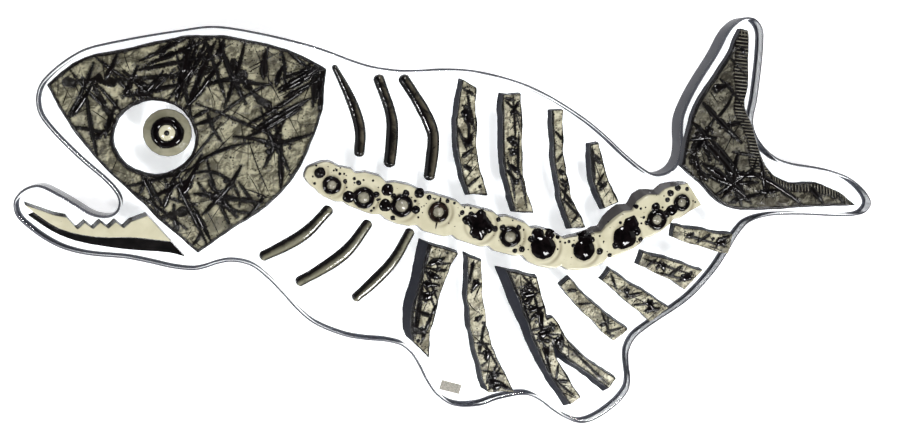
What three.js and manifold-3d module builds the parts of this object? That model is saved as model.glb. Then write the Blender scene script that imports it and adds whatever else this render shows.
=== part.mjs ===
// A fish skeleton of fused glass: head, jaw, spine, ribs and tail are glass pieces
// glued on the face of a thick clear panel cut to the outline of the fish.
// Millimetres. The panel lies on its back: +X runs to the tail, +Y to the back of
// the fish, and +Z out of the face.
import * as THREE from 'three';
import Module from 'manifold-3d';
import { mergeVertices } from 'three/addons/utils/BufferGeometryUtils.js';

const wasm = await Module();
wasm.setup();

// ---- Driving dimensions ----
const PANEL_THICKNESS = 20;
const PANEL_EDGE = 2; // eased edge of the panel, front and back
const GLUE = 0.3; // glue line under every piece
const GLASS = 8; // thickness of the fused glass
const GLASS_EDGE = 1.2; // rounding of the fused edges
const FOOT_EDGE = 0.2; // how little the sides draw in near the foot
const ROD = 6.5; // height of a rod rib
const BEAD = 1.8; // height of a black glass bead on another piece
const UPPER_SLANT = 0.1; // how far an upper slab's snout side leans in, as a share of its width
const LOWER_SLANT = 0.27; // the same on the lower slabs, which are cut more coarsely
const ROUND = 18; // facets round a disc
const LABEL = { x: -17.5, y: -114.5, length: 15, width: 7, thickness: 0.5, turn: -17 };

const FACE = PANEL_THICKNESS + GLUE; // where the glass sits
const TOP = FACE + GLASS + GLUE; // where the beads sit on the glass

// ---- Materials ----
const finish = (color, roughness) => new THREE.MeshStandardMaterial({ color, roughness, metalness: 0 });
const clearSheet = finish(0xe9eeef, 0.05);
const oliveGlass = finish(0x77745c, 0.25);
const creamGlass = finish(0xd7d0aa, 0.3);
const blackGlass = finish(0x14130f, 0.1);
const brownGlass = finish(0x5b4632, 0.2);
const rodGlass = finish(0x45463a, 0.1);
const paper = finish(0xc9c5b4, 0.7);

// ---- Shape helpers ----
const point = ([x, y]) => new THREE.Vector2(x, y);
const onLevel = ([x, y]) => new THREE.Vector3(x, y, 0);

// A smooth line through a few knots, as flat points.
function smoothLine(knots, perKnot, closed = false) {
  const curve = new THREE.CatmullRomCurve3(knots.map(onLevel), closed, 'centripetal');
  const spans = closed ? knots.length : knots.length - 1;
  const points = curve.getPoints(spans * perKnot).map(({ x, y }) => new THREE.Vector2(x, y));
  if (closed) points.pop();
  return points;
}

// Several smooth runs, end to end, with a corner where two of them meet.
function cornered(runs, perKnot) {
  return runs.flatMap((knots) => smoothLine(knots, perKnot).slice(0, -1));
}

function counterClockwise(points) {
  return THREE.ShapeUtils.isClockWise(points) ? points.slice().reverse() : points;
}

// A flat plate of one outline, with holes, and edges eased at both faces.
function plate(outline, thickness, edge, holes = []) {
  const shape = new THREE.Shape(outline);
  shape.holes = holes.map((hole) => new THREE.Path(hole));
  const geometry = new THREE.ExtrudeGeometry(shape, {
    depth: thickness - 2 * edge,
    bevelThickness: edge,
    bevelSize: edge,
    bevelOffset: -edge,
    bevelSegments: 1,
  });
  return geometry.translate(0, 0, edge);
}

// A closed body through outlines of equal point count, one above the other.
function loft(rings) {
  const count = rings[0].points.length;
  const positions = rings.flatMap(({ points, z }) => points.flatMap(({ x, y }) => [x, y, z]));
  const base = THREE.ShapeUtils.triangulateShape(rings[0].points, []);
  const lid = THREE.ShapeUtils.triangulateShape(rings[rings.length - 1].points, []);
  const start = (rings.length - 1) * count;
  const index = base.flatMap(([a, b, c]) => [a, c, b]);
  index.push(...lid.flat().map((i) => start + i));
  for (let ring = 0; ring < rings.length - 1; ring += 1) {
    for (let i = 0; i < count; i += 1) {
      const a = ring * count + i;
      const b = ring * count + ((i + 1) % count);
      index.push(a, b, b + count, a, b + count, a + count);
    }
  }
  const geometry = new THREE.BufferGeometry();
  geometry.setAttribute('position', new THREE.Float32BufferAttribute(positions, 3));
  geometry.setIndex(index);
  return geometry;
}

// An outline moved inwards, by a distance that may differ from point to point.
function inset(points, distance) {
  return points.map((at, i) => {
    const before = points[(i + points.length - 1) % points.length];
    const after = points[(i + 1) % points.length];
    const along = after.clone().sub(before).normalize();
    return at.clone().add(new THREE.Vector2(-along.y, along.x).multiplyScalar(distance(i)));
  });
}

// The outline of a strip along a centre line, its ends cut at an angle: up the right-hand
// side, then back down the left. A width may swell by an amount that depends on the place.
function strip({ line, widths, cuts = [0, 0], swell = () => 0 }, steps) {
  const curve = new THREE.CatmullRomCurve3(line.map(onLevel), false, 'centripetal');
  const width = new THREE.SplineCurve(widths.map((w, i) => new THREE.Vector2(i, w)));
  const right = [];
  const left = [];
  for (let i = 0; i <= steps; i += 1) {
    const at = curve.getPoint(i / steps);
    const along = curve.getTangent(i / steps);
    const half = width.getPoint(i / steps).y / 2 + swell(at);
    const cut = THREE.MathUtils.degToRad(i === 0 ? cuts[0] : i === steps ? cuts[1] : 0);
    const lean = half * Math.tan(cut);
    const side = new THREE.Vector2(-along.y * half + along.x * lean, along.x * half + along.y * lean);
    right.push(new THREE.Vector2(at.x - side.x, at.y - side.y));
    left.unshift(new THREE.Vector2(at.x + side.x, at.y + side.y));
  }
  return [...right, ...left];
}

// A round glass piece with a crowned top, or a ring when it has a hole.
function disc(radius, height, hole = 0) {
  const shoulder = height * 0.55;
  const crown = hole + (radius - hole) * 0.6;
  const lip = hole ? shoulder : height;
  const section = [[hole, 0], [radius, 0], [radius, shoulder], [crown, height], [hole, lip]];
  if (hole) section.push([hole, 0]);
  return new THREE.LatheGeometry(section.map(point), ROUND).rotateX(Math.PI / 2);
}

// ---- The model ----
const fish = new THREE.Group();

function place(name, geometry, material, x = 0, y = 0, z = FACE) {
  const mesh = new THREE.Mesh(geometry, material);
  mesh.name = name;
  mesh.position.set(x, y, z);
  fish.add(mesh);
  return mesh;
}

// Clear panel: lower lip, mouth, snout, back, tail and belly, in that order.
const PANEL_OUTLINE = [
  [-306, 15.5], [-306.5, 25], [-300, 32.5], [-290.5, 35], [-279, 29.5], [-267.5, 22],
  [-257.5, 15.5], [-248, 14], [-242.5, 17], [-241, 24], [-246.5, 33.5], [-264.5, 51],
  [-282, 70.5], [-289, 82], [-289.5, 94], [-284.5, 104], [-261, 122], [-238, 128.5],
  [-196.5, 136], [-177, 138.5], [-152, 135.5], [-109.5, 125.5], [-75, 113.5], [-51.5, 110],
  [-7, 110.5], [39.5, 99], [84, 73.5], [120, 43], [134, 35.5], [146.5, 39.5],
  [152, 50.5], [152, 74.5], [160, 94.5], [177.5, 122.5], [187.5, 140], [197.5, 147.5],
  [207, 147], [213, 140], [214, 126.5], [211, 90], [208.5, 71], [215, 57.5],
  [230.5, 45], [267, 37.5], [288, 30], [302.5, 18], [306, 10], [301.5, 3.5],
  [289, 1], [246, 3], [219.5, 2], [205, -4], [185, -34], [163, -57.5],
  [132.5, -77], [121, -86], [116.5, -96.5], [117.5, -123], [102.5, -139.5], [82, -148],
  [64.5, -141], [41.5, -125], [18.5, -126.5], [4, -130.5], [-15.5, -129], [-30, -117.5],
  [-44.5, -91], [-54.5, -82.5], [-89, -76], [-116.5, -63], [-142, -35], [-156, -23],
  [-171, -20], [-194.5, -25], [-235.5, -16], [-264.5, -12], [-281.5, -6], [-298, 6],
];
place('panel', plate(smoothLine(PANEL_OUTLINE, 3, true), PANEL_THICKNESS, PANEL_EDGE), clearSheet, 0, 0, 0);

// Head: one sheet with corners at the snout, the nape and the throat, and an open eye.
const EYE = { x: -215.5, y: 65.5, wide: 26, high: 24 };
const HEAD_RUNS = [
  [[-281.5, 100], [-272, 80.5], [-251, 49.5], [-225, 22.5], [-190.5, -12]],
  [[-190.5, -12], [-166.5, 4], [-145, 18], [-128.5, 34], [-110.5, 67.5], [-105.5, 85.5], [-103, 110.5]],
  [[-103, 110.5], [-128, 123], [-170.5, 132], [-196.5, 131], [-238, 121.5], [-257, 118], [-281.5, 100]],
];
const eyePath = new THREE.Path().absellipse(EYE.x, EYE.y, EYE.wide, EYE.high, 0, 2 * Math.PI);
const eyeHole = eyePath.getPoints(12).slice(0, -1);
place('head', plate(cornered(HEAD_RUNS, 3), GLASS, GLASS_EDGE, [eyeHole]), oliveGlass);

// Eye: a round iris on the panel, a black ring on it, and a pupil with a dot.
const IRIS = { x: -207.5, y: 68.5, radius: 15.8, ringOutside: 10.3, ringInside: 5.6, pupil: 5, dot: 1.8 };
place('eye_iris', disc(IRIS.radius, GLASS), oliveGlass, IRIS.x, IRIS.y);
place('eye_ring', disc(IRIS.ringOutside, BEAD, IRIS.ringInside), blackGlass, IRIS.x, IRIS.y, TOP);
place('eye_pupil', disc(IRIS.pupil, BEAD), creamGlass, IRIS.x, IRIS.y, TOP);
place('eye_dot', disc(IRIS.dot, BEAD / 2), blackGlass, IRIS.x, IRIS.y, TOP + BEAD + GLUE);

// Jaw: a cream blade with a toothed upper edge, and a black band under it.
const TEETH = { count: 4, first: -266, pitch: 9.7, low: 6, high: 10.2 };
const JAW_THICKNESS = 7;
const BAND_GAP = 0.42; // open joint between the jaw and its band
const BAND_EDGE = 0.4;
const teeth = [];
for (let i = 0; i < TEETH.count; i += 1) {
  const valley = TEETH.first + i * TEETH.pitch;
  teeth.push([valley, TEETH.low], [valley + TEETH.pitch / 2, TEETH.high]);
}
const BAND_TOP = [[-207, -3.5], [-231.5, 0], [-255.5, 1], [-277.5, 7], [-293.5, 18.5]];
const BAND_BOTTOM = [[-297, 16.5], [-282.5, 5.5], [-267.5, -1.5], [-236, -8], [-208.5, -11], [-198.5, -14]];
const lip = [[-298.5, 23], [-279.5, 15.5], [-272.5, 14]];
const JAW_LEAN = new THREE.Vector2(-2.2, 2.2); // the toothed side leans out to its foot
const toothed = [...lip, ...teeth, [-221.5, 14]].map(point);
const bandTop = smoothLine(BAND_TOP, 3);
const underBandTop = smoothLine(BAND_TOP.map(([x, y]) => [x, y - BAND_GAP]), 3);
const jaw = [...toothed, ...bandTop].reverse();
const jawFoot = [...toothed.map((at) => at.clone().add(JAW_LEAN)), ...bandTop].reverse();
const band = [...smoothLine(BAND_BOTTOM, 3), ...underBandTop];
place('jaw', loft([{ points: jawFoot, z: 0 }, { points: jaw, z: JAW_THICKNESS }]), creamGlass);
place('jaw_band', plate(counterClockwise(band), JAW_THICKNESS, BAND_EDGE), blackGlass);

// Vertebrae along the spine: place, radius, radius of the open middle, and glass.
const VERTEBRAE = [
  [-108.5, 41, 4, 0, blackGlass],
  [-100.5, 32.5, 6.6, 3, blackGlass],
  [-79, 23.5, 7.8, 3.6, blackGlass],
  [-53, 17.5, 8, 4, blackGlass],
  [-27.5, 12.5, 7.4, 3.4, brownGlass],
  [0.5, 2.5, 9.6, 0, blackGlass],
  [23.5, -6, 7.8, 3.6, blackGlass],
  [47.5, -14, 9.4, 0, blackGlass],
  [77.5, -17, 8.2, 0, blackGlass],
  [107.5, -8.5, 9, 0, blackGlass],
  [131.5, 3.5, 7.8, 3, blackGlass],
  [150, 15.5, 6.4, 2.8, blackGlass],
];
VERTEBRAE.forEach(([x, y, radius, hole, glass], i) => {
  place(`vertebra_${i + 1}`, disc(radius, BEAD, hole), glass, x, y, TOP);
});

// Spine: one wavy strip that swells a little at each vertebra. Near the tail its upper
// side is cut slanting.
const SWELL = { height: 1.4, reach: 8 };
const SPINE = {
  line: [
    [-119, 42.5], [-106, 37.5], [-62, 21.5], [-23.5, 9], [31.5, -8.5], [55.5, -17.5],
    [78, -18.5], [97, -10], [115, 1.5], [133, 11.5], [160.5, 21.5],
  ],
  widths: [8, 22, 25.5, 25, 24, 24, 24, 27, 31, 30, 18],
  cuts: [0, -14],
  swell: (at) => {
    const gaps = VERTEBRAE.map(([x, y]) => Math.hypot(at.x - x, at.y - y));
    return SWELL.height * Math.exp(-((Math.min(...gaps) / SWELL.reach) ** 2));
  },
};
const SPINE_STEPS = 40;
const SPINE_SLANT = 5.5;
const SLANT_FROM = 0.58; // share of the spine before the slanting cut
const spineOutline = strip(SPINE, SPINE_STEPS);
const spineLean = (i) => {
  const share = (2 * SPINE_STEPS + 1 - i) / SPINE_STEPS;
  const slant = Math.sin(Math.PI * Math.min(1, Math.max(0, (share - SLANT_FROM) / (1 - SLANT_FROM))));
  return GLASS_EDGE + (i > SPINE_STEPS ? SPINE_SLANT * slant : 0);
};
const spineRings = [
  { points: spineOutline, z: 0 },
  { points: inset(spineOutline, () => FOOT_EDGE), z: GLASS_EDGE },
  { points: inset(spineOutline, spineLean), z: GLASS },
];
place('spine', loft(spineRings), creamGlass);

// Ribs. Each follows a centre line from the spine to its tip.
const UPPER_RODS = [
  { line: [[-81.5, 51], [-80.5, 69], [-86, 88.5], [-98, 113]], widths: [7.5, 8, 7.5, 4] },
  { line: [[-61, 43.5], [-59, 60], [-59, 77.5], [-68.5, 106.5]], widths: [8, 9, 8, 4.5] },
  { line: [[-33.5, 34], [-31, 51], [-30.5, 66.5], [-38, 84], [-52, 106]], widths: [8, 9, 8.5, 9, 6] },
];
const LOWER_RODS = [
  { line: [[-101, 17], [-118.5, -0.5], [-135, -10], [-149.5, -16.5]], widths: [7, 9, 8.5, 6.5] },
  { line: [[-74.5, 7], [-90.5, -13.5], [-110, -27], [-125.5, -35]], widths: [7, 9, 8.5, 6] },
  { line: [[-45.5, 0.5], [-58.5, -21.5], [-72.5, -36], [-86.5, -48]], widths: [7, 8, 8.5, 6.5] },
];
const UPPER_SLABS = [
  { line: [[0.5, 23], [-6.5, 47], [-8.5, 76.5], [-6, 102]], widths: [16, 17, 18, 13], cuts: [15, 24] },
  { line: [[33.5, 10], [26, 36.5], [24.5, 64], [23.5, 94.5]], widths: [16, 16, 18, 16], cuts: [17, 0] },
  { line: [[73, -2], [64, 20], [58, 51], [57, 83.5]], widths: [13, 12, 10, 11], cuts: [16, 0] },
  { line: [[97.5, 13], [88, 34.5], [84, 59.5]], widths: [14, 14, 9], cuts: [0, 0] },
];
const LOWER_SLABS = [
  {
    line: [[-26.5, -11], [-33.5, -33.5], [-40.5, -58], [-42, -83.5]],
    widths: [29, 25, 24, 17], cuts: [0, 42],
  },
  { line: [[-2, -19], [-1.5, -51.5], [5, -88], [16.5, -117.5]], widths: [14, 15, 16, 22], cuts: [26, 28] },
  {
    line: [[29, -31], [37.5, -54], [52.5, -97.5], [72.5, -129.5]],
    widths: [26, 24, 16, 15], cuts: [34, 0],
  },
  { line: [[64, -38.5], [76.5, -53], [92, -67.5], [107, -80]], widths: [10, 11, 13, 14], cuts: [0, 23] },
  { line: [[94, -34], [110.5, -47], [135.5, -65.5]], widths: [11, 13, 17], cuts: [0, 30] },
  { line: [[119.5, -24], [141, -32], [161.5, -41]], widths: [11, 15, 18], cuts: [0, 28] },
  { line: [[144.5, -4.5], [166, -10.5], [190, -15.5]], widths: [10, 14, 15.5], cuts: [-12, 0] },
];
const FORKED = 2; // the place of the forked slab among the lower ones
const FORK = { line: [[48.5, -67], [63.5, -88.5], [79, -101.5], [101, -118]], widths: [18, 15, 13, 14.5] };

// A rod: a domed bar of fused glass.
const ROD_STEPS = 8;
const ROD_LEVELS = [[0.6, 0], [0, 0.35], [0.9, 0.8], [1.9, 1]]; // drawn in by, share of the height
function rodRib(rib) {
  const outline = strip(rib, ROD_STEPS);
  return loft(ROD_LEVELS.map(([drawnIn, share]) => ({ points: inset(outline, () => drawnIn), z: share * ROD })));
}

// A slab: a strip of thick sheet whose side towards the snout leans in. Seen from the
// spine that side is on the left of an upper slab and on the right of a lower one.
const SLAB_STEPS = 6;
function slabRib(rib, slant, slantsOnRight) {
  const outline = strip(rib, SLAB_STEPS);
  const upright = inset(outline, () => GLASS_EDGE);
  const leaning = upright.map((at, i) => {
    const facing = upright[upright.length - 1 - i];
    return (i <= SLAB_STEPS) === slantsOnRight ? at.clone().lerp(facing, slant) : at;
  });
  return loft([
    { points: outline, z: 0 },
    { points: inset(outline, () => FOOT_EDGE), z: GLASS_EDGE },
    { points: leaning, z: GLASS },
  ]);
}

function solid(geometry) {
  geometry.deleteAttribute('normal');
  geometry.deleteAttribute('uv');
  const merged = mergeVertices(geometry);
  const vertProperties = new Float32Array(merged.attributes.position.array);
  const triVerts = new Uint32Array(merged.index.array);
  return new wasm.Manifold(new wasm.Mesh({ numProp: 3, vertProperties, triVerts }));
}

// Two pieces fused into one.
function fused(one, other) {
  const mesh = solid(one).add(solid(other)).getMesh();
  const geometry = new THREE.BufferGeometry();
  geometry.setAttribute('position', new THREE.BufferAttribute(mesh.vertProperties, 3));
  geometry.setIndex(new THREE.BufferAttribute(mesh.triVerts, 1));
  return geometry;
}

UPPER_RODS.forEach((rib, i) => place(`rib_upper_${i + 1}`, rodRib(rib), rodGlass));
LOWER_RODS.forEach((rib, i) => place(`rib_lower_${i + 1}`, rodRib(rib), rodGlass));
UPPER_SLABS.forEach((rib, i) => {
  place(`rib_upper_${i + 1 + UPPER_RODS.length}`, slabRib(rib, UPPER_SLANT, false), oliveGlass);
});
LOWER_SLABS.forEach((rib, i) => {
  const slab = slabRib(rib, LOWER_SLANT, true);
  const shape = i === FORKED ? fused(slab, slabRib(FORK, LOWER_SLANT, true)) : slab;
  place(`rib_lower_${i + 1 + LOWER_RODS.length}`, shape, oliveGlass);
});

// Tail: one sheet with its corners at the tips of the two lobes and at the root.
const TAIL_RUNS = [
  [[149.5, 41.5], [170, 24], [182.5, 12.5], [196.5, 9], [243.5, 9.5], [288.5, 10.5]],
  [
    [288.5, 10.5], [272, 22], [254, 28], [234.5, 28.5], [221.5, 34],
    [213, 44.5], [203.5, 70], [197, 83.5], [199, 99], [198, 138],
  ],
  [[198, 138], [191.5, 139.5]],
  [[191.5, 139.5], [181, 117.5], [162, 89.5], [156, 75.5], [152, 56.5], [149.5, 41.5]],
];
place('tail', plate(cornered(TAIL_RUNS, 3), GLASS, GLASS_EDGE), oliveGlass);

// A small bare label, low on the belly.
const label = new THREE.BoxGeometry(LABEL.length, LABEL.width, LABEL.thickness);
const labelMesh = place('label', label, paper, LABEL.x, LABEL.y, FACE + LABEL.thickness / 2);
labelMesh.rotation.z = THREE.MathUtils.degToRad(LABEL.turn);

// The origin is under the middle of the panel, on the surface it lies on.
const middle = new THREE.Box3().setFromObject(fish).getCenter(new THREE.Vector3());
fish.position.set(-middle.x, -middle.y, 0);

export default fish;
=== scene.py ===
# %% [markdown]
# # A fish skeleton of fused glass
# The piece is a skeleton laid out in glass on a thick clear sheet: an olive head, a
# cream spine with black glass vertebrae, rods and slabs for ribs, and a two-lobed tail.
# The measured solids come in first as a fixed frame. Every cell after that dresses one
# kind of glass around them, so nothing has to be placed by eye.

# %% The measured frame
import math
import random

import bmesh
import bpy
import numpy as np
from mathutils import Matrix, Vector, noise
from mathutils.bvhtree import BVHTree
from mathutils.geometry import tessellate_polygon
from mathutils.kdtree import KDTree


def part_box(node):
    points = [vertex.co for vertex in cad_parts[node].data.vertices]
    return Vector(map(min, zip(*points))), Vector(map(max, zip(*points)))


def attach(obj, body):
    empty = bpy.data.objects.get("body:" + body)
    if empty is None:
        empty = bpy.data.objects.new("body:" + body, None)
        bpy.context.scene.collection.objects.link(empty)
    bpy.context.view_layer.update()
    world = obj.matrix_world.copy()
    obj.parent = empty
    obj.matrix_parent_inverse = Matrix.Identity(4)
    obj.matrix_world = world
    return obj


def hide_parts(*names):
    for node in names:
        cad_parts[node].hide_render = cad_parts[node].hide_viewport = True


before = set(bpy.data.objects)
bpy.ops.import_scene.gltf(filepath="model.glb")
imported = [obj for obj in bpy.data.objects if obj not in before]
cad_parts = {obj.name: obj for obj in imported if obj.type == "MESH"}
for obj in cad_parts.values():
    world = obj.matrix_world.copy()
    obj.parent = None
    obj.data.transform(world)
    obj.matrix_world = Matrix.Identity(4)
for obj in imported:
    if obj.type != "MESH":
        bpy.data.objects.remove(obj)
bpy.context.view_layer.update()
MM = 0.001
# the clear sheet, and the thin line of glue that the glass stands on
THICKNESS = 20 * MM
GLASS_FOOT = THICKNESS + 0.3 * MM
print("nodes in the frame:", len(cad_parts))

# %% [markdown]
# ## Camera
# The eye hangs about three quarters of a metre above the head and looks a little towards
# the tail, so walls that face the head show and the others hide. The camera's three axes
# are built by hand, because a tracking helper has no clear "up" when it looks down.

# %% Camera
EYE_POINT = Vector((-0.1527, 0.1028, 0.7577))
SIGHT = Vector((0.1837, -0.1289, -1.0)).normalized()
LENS = 43.2


def new_object(name, data):
    """An object that shows some data in the scene."""
    thing = bpy.data.objects.new(name, data)
    bpy.context.scene.collection.objects.link(thing)
    return thing


right = SIGHT.cross(Vector((0, 1, 0))).normalized()
axes = Matrix((right, right.cross(SIGHT), -SIGHT)).transposed()
camera = new_object("camera", bpy.data.cameras.new("camera"))
camera.data.lens = LENS
camera.data.clip_start = 10 * MM
camera.matrix_world = Matrix.Translation(EYE_POINT) @ axes.to_4x4()
bpy.context.scene.camera = camera
print("camera height:", round(EYE_POINT.z, 2), "m")

# %% [markdown]
# ## Shader sums
# A finish is a small sum over noise fields: "this much soot, less where it is polished".
# Blender writes such a sum as Math nodes. A tiny class lets Python do the wiring: each
# output becomes a Value, and +, - or * on a Value adds the node that works it out.

# %% Values and finishes
class Value:
    """One output of a node, ready to be used in sums."""

    def __init__(self, finish, socket):
        self.finish, self.socket = finish, socket

    def _math(self, operation, first, second):
        return self.finish.node("ShaderNodeMath", {"operation": operation}, {0: first, 1: second})

    def __add__(self, other):
        return self._math("ADD", self, other)

    def __sub__(self, other):
        return self._math("SUBTRACT", self, other)

    def __rsub__(self, other):
        return self._math("SUBTRACT", other, self)

    def __mul__(self, other):
        return self._math("MULTIPLY", self, other)

    # a sum and a product don't mind their order
    __radd__, __rmul__ = __add__, __mul__

    def rise(self, low, high):
        """0 below low, 1 above high, and a smooth step between them."""
        limits = {"Value": self, "From Min": low, "From Max": high}
        return self.finish.node("ShaderNodeMapRange", {"interpolation_type": "SMOOTHSTEP"}, limits)


class Finish:
    """A material under construction."""

    def __init__(self, name):
        self.material = bpy.data.materials.new(name)
        self.material.use_nodes = True
        self.tree = self.material.node_tree
        self.tree.nodes.clear()
        self.end = self.tree.nodes.new("ShaderNodeOutputMaterial")
        self.place = self.node("ShaderNodeTexCoord", {}, {}, "Object")

    def node(self, kind, settings, inputs, output=0):
        """Any node: its settings first, then what goes into its sockets."""
        node = self.tree.nodes.new(kind)
        for key, value in settings.items():
            setattr(node, key, value)
        for key, value in inputs.items():
            socket = node.inputs[key]
            if isinstance(value, Value):
                self.tree.links.new(value.socket, socket)
                continue
            if isinstance(value, tuple) and len(value) < len(socket.default_value):
                value = (*value, 1.0)
            socket.default_value = value
        return Value(self, node.outputs[output])

    def noise(self, size, detail=3.0, rough=0.5, warp=0.0, at=None):
        """A cloudy field whose clouds are about one size across, in millimetres."""
        inputs = {"Vector": at or self.place, "Scale": 1 / (size * MM), "Detail": detail}
        inputs.update({"Roughness": rough, "Distortion": warp})
        return self.node("ShaderNodeTexNoise", {}, inputs)

    def cells(self, size, feature="F1", output="Distance", at=None):
        """Cells about one size across: how far from a middle or an edge, or a colour each."""
        inputs = {"Vector": at or self.place, "Scale": 1 / (size * MM)}
        return self.node("ShaderNodeTexVoronoi", {"feature": feature}, inputs, output)

    def patches(self, size, at):
        """Cells about one size across, each with one shade of its own."""
        colour = self.cells(size, "F1", "Color", at)
        return self.node("ShaderNodeSeparateColor", {}, {"Color": colour})

    def pushed(self, size, reach):
        """Places pushed about by a noise, so that straight fields wander."""
        push = self.node("ShaderNodeTexNoise", {}, {"Vector": self.place, "Scale": 1 / (size * MM)}, 1)
        inputs = {0: push, 1: (reach * MM,) * 3, 2: self.place}
        return self.node("ShaderNodeVectorMath", {"operation": "MULTIPLY_ADD"}, inputs)

    def moved(self, at, steps):
        """Places moved by a few millimetres."""
        inputs = {0: at, 1: tuple(step * MM for step in steps)}
        return self.node("ShaderNodeVectorMath", {"operation": "ADD"}, inputs)

    def blend(self, share, first, second):
        """Two colours mixed by a share."""
        return self.node("ShaderNodeMix", {"data_type": "RGBA"}, {0: share, 6: first, 7: second}, 2)

    def along(self, axis):
        """How far along one axis a point lies."""
        return self.node("ShaderNodeSeparateXYZ", {}, {"Vector": self.place}, axis)

    def above(self, height):
        """0 on the side of a piece and 1 on its top, from a height in millimetres."""
        return self.along("Z").rise(GLASS_FOOT + (height - 0.5) * MM, GLASS_FOOT + height * MM)

    def facing_up(self):
        """1 on level faces and 0 on upright ones."""
        normal = self.node("ShaderNodeNewGeometry", {}, {}, "Normal")
        return self.node("ShaderNodeSeparateXYZ", {}, {"Vector": normal}, "Z")

    def soot(self):
        """The soot, and on the spine the painted shadow, that is painted on the points of the mesh."""
        return self.node("ShaderNodeAttribute", {"attribute_name": "soot"}, {}, "Fac")

    def bump(self, height, depth):
        """Small relief, as deep as given in millimetres."""
        return self.node("ShaderNodeBump", {}, {"Height": height, "Distance": depth * MM})

    def surface(self, **sockets):
        """The principled shader with its sockets, linked to the output."""
        named = {key.replace("_", " "): value for key, value in sockets.items()}
        shader = self.node("ShaderNodeBsdfPrincipled", {}, named)
        self.tree.links.new(shader.socket, self.end.inputs["Surface"])
        return shader


# %% [markdown]
# ## The clear sheet
# The sheet is polished acrylic. Its sawn wall and the small round above and below it look
# dark, because the light that enters there is led away inside the sheet. That darkness is
# painted shade: the tint follows how steep the surface is, and the wall is partly a dull
# slate of painted shade, more of it towards the tail. Real light passes through the sheet
# to the table below. A path tracer finds that light only by luck, so the shader answers
# shadow rays as plain see-through and every other ray as refracting plastic.

# %% Clear sheet finish
def clear_sheet():
    finish = Finish("clear_sheet")
    level = finish.node("ShaderNodeMath", {"operation": "ABSOLUTE"}, {0: finish.facing_up()})
    wall = 1 - level.rise(0.04, 0.22)
    round_edge = level.rise(0.04, 0.3) * (1 - level.rise(0.86, 0.985))
    # painted shade: the wall and the round edge are tinted dark
    tint = finish.blend(wall, (0.97, 0.985, 0.99), (0.075, 0.078, 0.1))
    tint = finish.blend(round_edge * 0.96, tint, (0.012, 0.012, 0.02))
    plastic = finish.surface(Base_Color=tint, Roughness=0.0, IOR=1.49, Transmission_Weight=1.0)
    # painted shade: more of the wall turns a dull slate towards the tail
    tail_shade = finish.along("X").rise(0.0, 0.13)
    side_shade = finish.blend(finish.noise(14, 3, 0.5, 0.3), (0.022, 0.023, 0.032), (0.05, 0.053, 0.07))
    dark_wall_shade = finish.surface(Base_Color=side_shade, Roughness=0.5, Specular_IOR_Level=0.15)
    share = wall * (tail_shade * 0.5 + 0.3) + round_edge * 0.85
    plastic = finish.node("ShaderNodeMixShader", {}, {0: share, 1: plastic, 2: dark_wall_shade})
    open_way = finish.node("ShaderNodeBsdfTransparent", {}, {"Color": (0.96, 0.97, 0.975)})
    shadow_ray = finish.node("ShaderNodeLightPath", {}, {}, "Is Shadow Ray")
    both = finish.node("ShaderNodeMixShader", {}, {0: shadow_ray, 1: plastic, 2: open_way})
    finish.tree.links.new(both.socket, finish.end.inputs["Surface"])
    return finish.material


# %% [markdown]
# ## The olive glass
# The head, the slabs and the tail are olive glass, fused from crumpled layers. Their sides
# are painted a dark slate, as painted shade where light stops in the glass. The tone
# wanders from patch to patch, and a painted shade, light on one side of each fold and dark
# on the other, with dark painted shade along crease lines, makes it look like folded cloth.
# Where the top turns down at its rim it is darkened with painted shade. Small pits dot it,
# and soot gathers where black strokes were fired in. The soot is painted on the mesh's own
# points, so it follows the strokes exactly.

# %% Olive glass finish
# the two slate colours are painted shade on the sides of a piece
SHADE_SLATE, PALE_SHADE_SLATE = (0.009, 0.01, 0.016), (0.022, 0.024, 0.034)
# the crease colour is painted shade along fold lines
VEIL, CREASE_SHADE, PIT = (0.022, 0.018, 0.014), (0.016, 0.013, 0.01), (0.012, 0.01, 0.008)
# the rim colour is painted shade where the top turns down
SOOT, RIM_SHADE = (0.003, 0.0022, 0.0022), (0.006, 0.005, 0.006)
OLIVE_TOP = 7.1


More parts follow.
